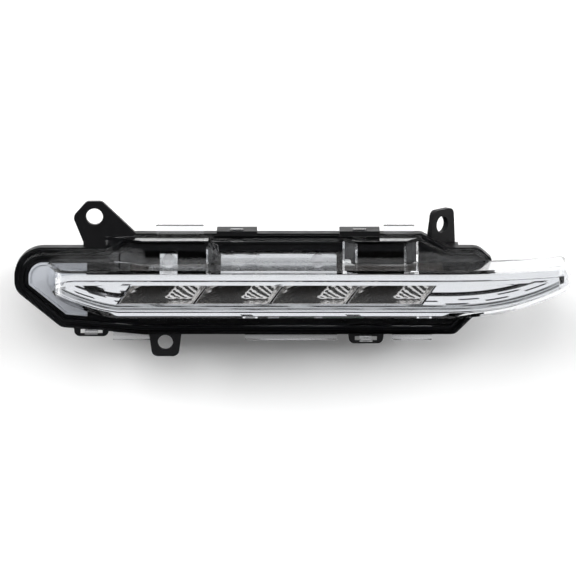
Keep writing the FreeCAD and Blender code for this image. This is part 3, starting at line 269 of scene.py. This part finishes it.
def flat_rise(x):
    """Rise of the lower edge along the straight runs of the construction."""
    inner = END_RISE * max(FLAT_INNER_FOOT - x, 0.0) / (FLAT_INNER_FOOT - INNER_END)
    outer = KNEE_RISE * share(x, FLAT_OUTER_FOOT, FLAT_OUTER_KNEE)
    outer += (END_RISE - KNEE_RISE) * max(x - FLAT_OUTER_KNEE, 0.0) / (OUTER_END - FLAT_OUTER_KNEE)
    return inner + outer


def round_rise(x):
    """The same rise as one flowing curve at each end."""
    inner = max(CURVE_INNER_FOOT - x, 0.0) / (CURVE_INNER_FOOT - INNER_END)
    outer = max(x - CURVE_OUTER_FOOT, 0.0) / (OUTER_END - CURVE_OUTER_FOOT)
    return END_RISE * inner ** INNER_POWER + END_RISE * outer ** OUTER_POWER


# Lens with the rounded edges of the light bar, the blisters and the tabs, sizes in mm
CURVE_CUTS = (-24.0, -17.0, -10.0, -4.0, 2.0, 12.0, 17.0)
SOLID_FLOOR = -56.5
THIN_FLOOR = -58.2
CURVED_LOW = -60.0
CURVED_TOP = -31.0
CURVED_INNER = CURVE_INNER_FOOT + 0.5
CURVED_OUTER = CURVE_OUTER_FOOT + 1.0
FLANGE_END = 258.0
NEAR = 0.1
APART = 0.5
TAB_OVER = -10.7
TAB_UNDER = -78.3
SHARP = math.radians(50)
SOFT_WIDTH = 2.6
CRISP_WIDTH = 0.8


def on_bar(place):
    return BAR_LOW - NEAR < place.z < BAR_TOP + NEAR and place.y < DECK - APART


def on_blister(place):
    return place.z > BAR_TOP + APART and place.y < DECK - APART


def on_tab(place):
    return place.z > TAB_OVER or place.z < TAB_UNDER


def sharp_edges(shape, *regions):
    """Convex edges with a clear angle that lie in one of the regions."""
    found = []
    for edge in shape.edges:
        if len(edge.link_faces) == 2 and edge.is_convex and edge.calc_face_angle() > SHARP:
            ends = [vert.co / MM for vert in edge.verts]
            if any(all(inside(end) for end in ends) for inside in regions):
                found.append(edge)
    return found


def round_off(shape, edges, width, segments):
    bmesh.ops.bevel(shape, geom=edges, offset=width * MM, segments=segments, profile=0.5,
                    affect="EDGES", clamp_overlap=True)
    shape.normal_update()


def curve_ends(shape):
    """Thins the floor of the bar and turns the straight runs of its lower edge into curves."""
    for cut in CURVE_CUTS:
        bmesh.ops.bisect_plane(shape, geom=shape.verts[:] + shape.edges[:] + shape.faces[:], dist=WELD * MM,
                               plane_co=(cut * MM, 0, 0), plane_no=(1, 0, 0))
    for vert in shape.verts:
        x, y, z = vert.co / MM
        ahead = y < DECK - APART
        if abs(z - SOLID_FLOOR) < NEAR and ahead:
            vert.co.z = THIN_FLOOR * MM
        at_end = x < CURVED_INNER or x > CURVED_OUTER
        if CURVED_LOW < z < CURVED_TOP and at_end and (ahead or x > FLANGE_END):
            vert.co.z += (round_rise(x) - flat_rise(x)) * MM
    shape.normal_update()


lens_shell = bpy.data.objects.new("lens_shell", nodes["outer_lens"].data.copy())
scene.collection.objects.link(lens_shell)
lens_shell.matrix_world = nodes["outer_lens"].matrix_world.copy()
shape = bmesh.new()
shape.from_mesh(lens_shell.data)
shape.transform(lens_shell.matrix_world)
bmesh.ops.remove_doubles(shape, verts=shape.verts, dist=WELD * MM)
bmesh.ops.dissolve_limit(shape, angle_limit=FLAT_ANGLE, verts=shape.verts, edges=shape.edges)
shape.normal_update()
curve_ends(shape)
round_off(shape, sharp_edges(shape, on_bar), SOFT_WIDTH, segments=5)
round_off(shape, sharp_edges(shape, on_blister, on_tab), CRISP_WIDTH, segments=2)
shape.transform(lens_shell.matrix_world.inverted())
shape.to_mesh(lens_shell.data)
shape.free()
lens_shell.data.materials.clear()
lens_shell.data.materials.append(lens_clear)

# The swept end of the bar is shaded as the true round wall that its flats stand for, the tabs as rounded
WALL_OUTSIDE = 214.0
WALL_INSIDE = 211.5
WALL_SLACK = 0.6
UPRIGHT = 0.05
BEND_SLACK = 0.1


def shade_sweep(lens):
    centre = Vector((BEND_X * MM, BEND_RADIUS * MM, 0))
    unset = Vector((0, 0, 0))
    corner_normals = []
    for polygon in lens.data.polygons:
        places = [lens.matrix_world @ lens.data.vertices[index].co for index in polygon.vertices]
        spokes = [Vector((place.x - centre.x, place.y - centre.y, 0)) for place in places]
        swept = abs(polygon.normal.z) < UPRIGHT and all(spoke.x > -BEND_SLACK * MM for spoke in spokes)
        outside = swept and all(abs(spoke.length - WALL_OUTSIDE * MM) < WALL_SLACK * MM for spoke in spokes)
        inside = swept and all(abs(spoke.length - WALL_INSIDE * MM) < WALL_SLACK * MM for spoke in spokes)
        polygon.use_smooth = outside or inside or all(on_tab(place / MM) for place in places)
        for spoke in spokes:
            if outside:
                corner_normals.append(spoke.normalized())
            elif inside:
                corner_normals.append(-spoke.normalized())
            else:
                corner_normals.append(unset)
    lens.data.normals_split_custom_set(corner_normals)


shade_sweep(lens_shell)
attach(lens_shell, "root")
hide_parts("outer_lens")

# Mirror skins of the reflector, made from a grid of points in mm
SKIN = 0.3


def mirror_skin(name, points, columns, material, smooth):
    faces = []
    for row in range(len(points) // columns - 1):
        for column in range(columns - 1):
            first = row * columns + column
            above = first + columns
            faces.append((first, first + 1, above + 1, above))
    mesh = bpy.data.meshes.new(name)
    mesh.from_pydata([(x * MM, y * MM, z * MM) for x, y, z in points], [], faces)
    if smooth:
        mesh.shade_smooth()
    else:
        mesh.shade_flat()
    mesh.materials.append(material)
    skin = bpy.data.objects.new(name, mesh)
    scene.collection.objects.link(skin)
    thick = skin.modifiers.new("thick", "SOLIDIFY")
    thick.thickness = SKIN * MM
    thick.offset = 0.0
    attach(skin, "root")


# Mirror cells: a leaning bowl under each source, sizes in mm, its outer half a shelf with slanted flutes
CELL_COUNT = 4
CELL_START = 27.4
CELL_PITCH = 49.0
CELL_RIB = 1.6
CELL_GAP = 0.4
CELL_LEAN = 11.0
CELL_FRONT = -33.4
CELL_LOW = -50.3
CELL_RISE = 14.7
ACROSS = 120
UP = 36
BOWL_RIM = 2.0
BOWL_DEPTH = 15.0
BOWL_SQUARENESS = 10.0
SHELF_RIM = 1.0
SHELF_DEPTH = 5.0
SHELF_SLOPE = 0.05
SHELF_FROM = 0.42
SHELF_TO = 0.62
SHELF_WALL = 0.4
SHELF_END = 0.05
FLUTE_HEIGHT = 0.1
FLUTES_ACROSS = 9
FLUTES_UP = 8
FLUTE_WANDER = 0.12
WANDER_ACROSS = 23
WANDER_UP = 17
RIPPLE_HEIGHT = 0.13
RIPPLE_LOSS = 0.11
RIPPLES_UP = 6
RIPPLE_BEND = 4
BENDS_ACROSS = 15
SIDE_FADE = 0.06
FOOT_FADE_FROM = 0.02
FOOT_FADE_TO = 0.15


def cell_relief(run, level, shelf):
    """Height of the flutes on the shelf and of the ripples in the bowl."""
    wander = FLUTE_WANDER * math.sin(WANDER_UP * level + WANDER_ACROSS * run)
    flute = math.sin(2 * math.pi * (FLUTES_ACROSS * run + FLUTES_UP * level + wander)) * FLUTE_HEIGHT * shelf
    bend = RIPPLE_BEND * math.sin(BENDS_ACROSS * run)
    ripple = math.sin(2 * math.pi * RIPPLES_UP * level + bend) * (RIPPLE_HEIGHT - RIPPLE_LOSS * shelf)
    fade = ease(level, FOOT_FADE_FROM, FOOT_FADE_TO)
    fade *= ease(run, 0.0, SIDE_FADE) * ease(1 - run, 0.0, SIDE_FADE)
    return (flute + ripple) * fade


def bowl(number):
    """One mirror bowl as a fine skin inside its cell."""
    left = CELL_START - CELL_LEAN + CELL_PITCH * number + CELL_GAP
    width = CELL_PITCH - CELL_RIB
    points = []
    for row in range(UP + 1):
        level = row / UP
        turn = level * math.pi / 2
        height = 1 - math.cos(turn)
        wall = ease(level, 0.0, SHELF_WALL) * (1 - SHELF_SLOPE) + SHELF_SLOPE * height
        for column in range(ACROSS + 1):
            run = column / ACROSS
            shelf = ease(run, SHELF_FROM, SHELF_TO)
            bowl_depth = BOWL_RIM + BOWL_DEPTH * (1 - abs(2 * run - 1) ** BOWL_SQUARENESS)
            shelf_depth = SHELF_RIM + SHELF_DEPTH * ease(1 - run, 0.0, SHELF_END)
            depth = bowl_depth * math.sin(turn) * (1 - shelf) + shelf_depth * wall * shelf
            points.append((left + width * run + CELL_LEAN * height,
                           CELL_FRONT + depth - cell_relief(run, level, shelf),
                           CELL_LOW + CELL_RISE * height))
    mirror_skin("cell_mirror_%d" % (number + 1), points, ACROSS + 1, prism, smooth=True)


for number in range(CELL_COUNT):
    bowl(number)

# Bright bands of the reflector over, under and beside the cells, which follow the bar to its swept end, in mm
BAND_START = -22.5
BAND_END = 300.0
BAND_STEP = 1.5
BAND_LIMIT = -38.0
FLOOR_AT_ENDS = -56.2
FLOOR_DROP = 1.7
DROP_INNER = (10.0, 16.0)
DROP_OUTER = (230.0, 224.0)
NOSE_X = -9.0
NOSE_LENGTH = 14.0
NOSE_BACK = 8.0
NOSE_DROP = 5.0
FIELD_LOW = -50.6
FIELD_TOP = -38.2
SWAY = 0.04
SWAY_WAVES = ((1.0, 0.19, 1.7), (0.7, 0.071, -2.3))
STRIP_OUT = 0.11


def lowest(x):
    """Inside of the lens under the bands, deeper along the level run than at the rising ends."""
    return FLOOR_AT_ENDS + round_rise(x) - FLOOR_DROP * ease(x, *DROP_INNER) * ease(x, *DROP_OUTER)


def sway(x, z):
    """Slight waves of the moulded surface, which break up the mirror image."""
    return SWAY * sum(height * math.sin(along * x + up * z) for height, along, up in SWAY_WAVES)


def band_point(x, y, z, follow):
    """A point of a band's profile, carried along the bar to the station x."""
    part = share(NOSE_X - x, 0.0, NOSE_LENGTH)
    bow = 1 - math.sqrt(1 - part * part)
    high = z - NOSE_DROP * bow
    if follow:
        high = min(max(z + round_rise(x), lowest(x)), BAND_LIMIT)
    if x <= BEND_X:
        return x, y + NOSE_BACK * bow + sway(x, z), high
    reach = BEND_RADIUS - y - sway(x, z)
    angle = math.asin((x - BEND_X) / reach)
    return x, BEND_RADIUS - reach * math.cos(angle), high


def band(name, profile, material, follow, start=BAND_START, end=BAND_END, lean_start=0.0, lean_end=0.0):
    """A thin moulded band with a profile in side view, which can lean at its ends as the cells do."""
    stations = int((end - start) / BAND_STEP)
    points = []
    for y, z in profile:
        up = (z - FIELD_LOW) / (FIELD_TOP - FIELD_LOW)
        first = start - lean_start * (1 - up)
        last = end + lean_end * up
        for station in range(stations + 1):
            points.append(band_point(first + (last - first) * station / stations, y, z, follow))
    mirror_skin(name, points, stations + 1, material, smooth=False)


def rippled(top, drop, count):
    """Narrow strips of a profile below its last point, each leaning out a little."""
    return [(top[0] - STRIP_OUT * step, top[1] - drop * step) for step in range(1, count + 1)]


brow = [(-34.9, -38.0), (-34.75, -37.0), (-34.5, -35.7)]
crest = [(-34.6, -34.8), (-34.35, -33.6), (-34.05, -32.4), (-33.6, -31.2)]
lip = [(-33.8, -50.4), (-33.95, -51.4), (-33.95, -52.2), (-34.15, -53.2), (-34.15, -53.8), (-34.3, -54.6)]
bead = [(-34.4, -54.6), (-34.6, -55.2)]
edge = [(-34.8, -55.9), (-35.0, -56.9), (-35.15, -57.9)]
tail = [(-33.7, FIELD_TOP), (-34.2, -42.6), (-34.2, -45.2)]
tail += rippled(tail[-1], drop=0.9, count=6)
inner = [(-33.7, FIELD_TOP), (-34.2, -41.4), (-34.2, -43.0), (-34.2, -44.6), (-34.2, -46.2)]
inner += rippled(inner[-1], drop=0.88, count=5)

band("reflector_brow", brow, chrome, follow=False)
band("reflector_crest", crest, chrome, follow=False)
band("reflector_lip", lip, satin, follow=True)
band("reflector_bead", bead, chrome, follow=True)
band("reflector_edge", edge, chrome, follow=True)
band("reflector_tail", tail, chrome, follow=True, start=221.0, lean_start=9.0)
band("reflector_start", inner, chrome, follow=True, start=-17.0, end=15.0, lean_end=8.5)

# White table that the lamp lies on with its back, seen from above, so it stands upright in this frame.
# From here on sizes are in metres.
MIDDLE = (0.125, 0.0, -0.045)
TABLE_SIZE = 8.0
TABLE_GAP = 0.0005
TABLE_GLOW = 0.07
bpy.ops.mesh.primitive_plane_add(size=TABLE_SIZE, location=(MIDDLE[0], cad_box[1][1] + TABLE_GAP, MIDDLE[2]),
                                 rotation=(math.radians(90), 0, 0))
table = bpy.context.object
table.name = "table"
table_white, tree, shader = new_material("table_white")
table_tone = two_tone(tree, noise(tree, 3.0), (0.95, 0.95, 0.95), (0.97, 0.97, 0.97))
tree.links.new(table_tone, shader.inputs["Base Color"])
shader.inputs["Roughness"].default_value = 0.95
shader.inputs["Specular IOR Level"].default_value = 0.0
glow = tree.nodes.new("ShaderNodeMath")
glow.operation = "MULTIPLY"
glow.inputs[1].default_value = TABLE_GLOW
tree.links.new(seen_rays(tree), glow.inputs[0])
shader.inputs["Emission Color"].default_value = WHITE
tree.links.new(glow.outputs[0], shader.inputs["Emission Strength"])
from_behind = tree.nodes.new("ShaderNodeNewGeometry").outputs["Backfacing"]
blend(tree, from_behind, shader, see_through(tree, WHITE), tree.nodes["Material Output"])
table.data.materials.append(table_white)

# Dark sheet on the ground in front of the lamp, which only mirror faces and clear parts show
SHEET_AHEAD = -0.29
SHEET_LIFT = 0.001
SHEET_WIDTH = 2.0
SHEET_DEPTH = 0.46
bpy.ops.mesh.primitive_plane_add(size=1.0, location=(MIDDLE[0], SHEET_AHEAD, cad_box[0][2] + SHEET_LIFT))
dark_sheet = bpy.context.object
dark_sheet.name = "dark_sheet"
dark_sheet.scale = (SHEET_WIDTH, SHEET_DEPTH, 1.0)
sheet_black = surface("dark_sheet", (0.006, 0.006, 0.006), (0.012, 0.012, 0.012), (0.9, 1.0),
                      scale=3.0, sheen=0.0)
dark_sheet.data.materials.append(sheet_black)
dark_sheet.visible_camera = False
dark_sheet.visible_diffuse = False
dark_sheet.visible_shadow = False

# White surroundings for the eye, the mirror faces and the clear parts, soft light for the rest
SEEN_LEVEL = 1.0
SOFT_LEVEL = 0.12


def background(tree, strength):
    node = tree.nodes.new("ShaderNodeBackground")
    node.inputs["Color"].default_value = WHITE
    node.inputs["Strength"].default_value = strength
    return node


world = bpy.data.worlds.new("surroundings")
scene.world = world
world.use_nodes = True
tree = world.node_tree
tree.nodes.clear()
blend(tree, seen_rays(tree), background(tree, SOFT_LEVEL), background(tree, SEEN_LEVEL),
      tree.nodes.new("ShaderNodeOutputWorld"))


# Three lights in front that mirror faces and clear parts don't show, and one behind
def area_light(name, place, size, power):
    data = bpy.data.lights.new(name, "AREA")
    data.shape = "RECTANGLE"
    data.size = size[0]
    data.size_y = size[1]
    data.energy = power
    lamp = bpy.data.objects.new(name, data)
    scene.collection.objects.link(lamp)
    lamp.location = place
    lamp.rotation_euler = (Vector(MIDDLE) - Vector(place)).to_track_quat("-Z", "Y").to_euler()
    return lamp


front_lights = (
    area_light("key_light", (0.06, -2.5, 1.5), (1.6, 1.5), 38.0),
    area_light("left_light", (-1.95, -1.85, 1.25), (1.4, 1.4), 64.0),
    area_light("right_light", (2.2, -1.85, 1.25), (1.4, 1.4), 64.0),
)
for light in front_lights:
    light.visible_glossy = False
    light.visible_transmission = False
area_light("back_light", (0.9, 2.2, 1.2), (1.6, 1.2), 40.0)

# Camera, which looks down on the front a little, with its sensor in mm
TILT = math.radians(12.0)
REACH = 2.5
SENSOR = 36.0
SEEN_WIDTH = 0.375
AIM = Vector((0.1255, 0.0, -0.0485))
camera_data = bpy.data.cameras.new("camera")
camera = bpy.data.objects.new("camera", camera_data)
scene.collection.objects.link(camera)
scene.camera = camera
outward = Vector((0, -math.cos(TILT), math.sin(TILT)))
camera.location = AIM + outward * REACH
camera.rotation_euler = (-outward).to_track_quat("-Z", "Y").to_euler()
camera_data.sensor_fit = "HORIZONTAL"
camera_data.sensor_width = SENSOR
camera_data.lens = SENSOR * REACH / SEEN_WIDTH

scene.cycles.use_denoising = True
scene.cycles.max_bounces = 20
scene.cycles.transmission_bounces = 16
scene.cycles.glossy_bounces = 8
scene.cycles.transparent_max_bounces = 16
scene.view_settings.view_transform = "Standard"
